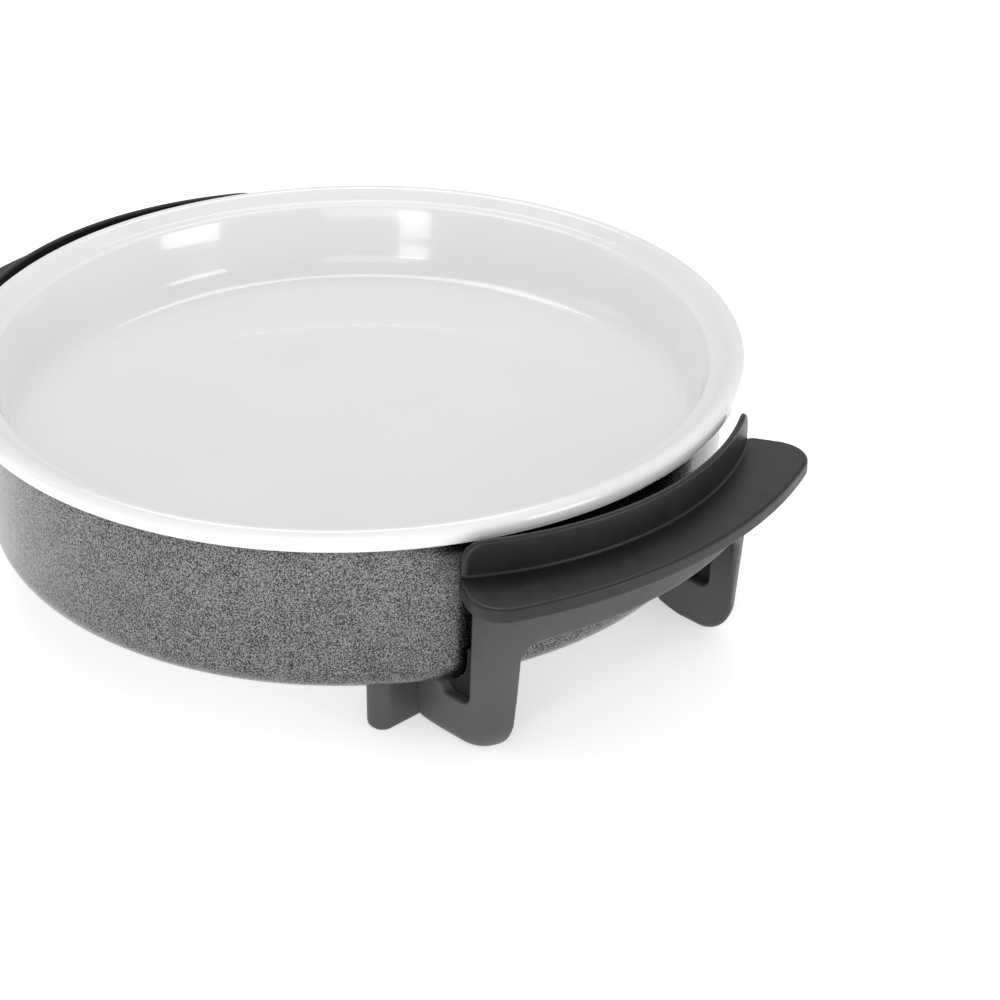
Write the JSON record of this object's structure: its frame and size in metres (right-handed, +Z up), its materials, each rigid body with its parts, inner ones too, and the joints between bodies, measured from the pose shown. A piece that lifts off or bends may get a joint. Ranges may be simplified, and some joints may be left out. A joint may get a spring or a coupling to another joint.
{
  "type": "electric griddle",
  "caption": "Round white-coated electric griddle pan in a hammered grey shell, with two handle brackets that are also its feet and a plug-in thermostat control.",
  "frame": {"origin": "on the table plane, under the axis of the round pan", "axes": "+Z up, +X from the pan's axis towards the handle away from the plug-in control, Y along the foot rails"},
  "size_m": [0.5455, 0.4, 0.1255],
  "materials": {
    "white_coating": "glossy white ceramic coating on aluminium",
    "hammered_paint": "dark grey hammered enamel with silver flecks",
    "zinc_steel": "zinc plated sheet steel",
    "screw_steel": "zinc plated screws",
    "cast_aluminium": "cast and pressed aluminium",
    "element_sheath": "oxidised steel sheath",
    "nickel": "nickel plate",
    "mineral_wool": "felted mineral wool",
    "brass": "bare brass",
    "bracket_plastic": "fine grained charcoal phenolic",
    "grip_plastic": "fine grained black phenolic",
    "case_plastic": "fine grained black plastic",
    "dial_plastic": "black plastic with white marks",
    "phenolic": "brown phenolic",
    "lamp_glass": "clear neon lamp",
    "lamp_lens": "red translucent lens"
  },
  "bodies": {
    "pan": {"dish": "white_coating", "shell": "hammered_paint", "base_plate": "zinc_steel", "base_screws": "screw_steel", "heat_spreader": "cast_aluminium", "heating_element": "element_sheath", "terminal_pins": "nickel", "element_clamps": "zinc_steel", "heater_screws": "screw_steel", "sensor_block": "cast_aluminium", "reflector": "cast_aluminium", "insulation_pad": "mineral_wool", "mounting_studs": "screw_steel", "stud_spacers": "zinc_steel", "stud_nuts": "screw_steel", "inlet_guard": "zinc_steel", "inlet_screws": "screw_steel", "earth_contact": "brass", "bracket_right": "bracket_plastic", "bracket_left": "bracket_plastic", "grip_right": "grip_plastic", "grip_left": "grip_plastic", "grip_screws": "screw_steel", "foot_rail_right": "bracket_plastic", "foot_rail_left": "bracket_plastic", "handle_screws": "screw_steel", "handle_nuts": "screw_steel"},
    "control": {"case_bottom": "case_plastic", "case_top": "case_plastic", "case_screws": "screw_steel", "contact_carrier": "phenolic", "contact_sockets": "brass", "switch_strips": "brass", "control_probe": "nickel", "thermostat_switch": "phenolic", "pilot_lamp": "lamp_glass", "lamp_lens": "lamp_lens", "cord_gland": "case_plastic"},
    "dial": {"dial_shaft": "nickel", "control_dial": "dial_plastic"}
  },
  "joints": [
    {"name": "control_unplug", "type": "slide", "parent": "pan", "child": "control", "axis": [-1, 0, 0], "range_m": [0, 0.11]},
    {"name": "dial_turn", "type": "hinge", "parent": "control", "child": "dial", "pos_m": [-0.268, 0, 0.065], "axis": [0, 0, -1], "range_deg": [0, 270]}
  ]
}
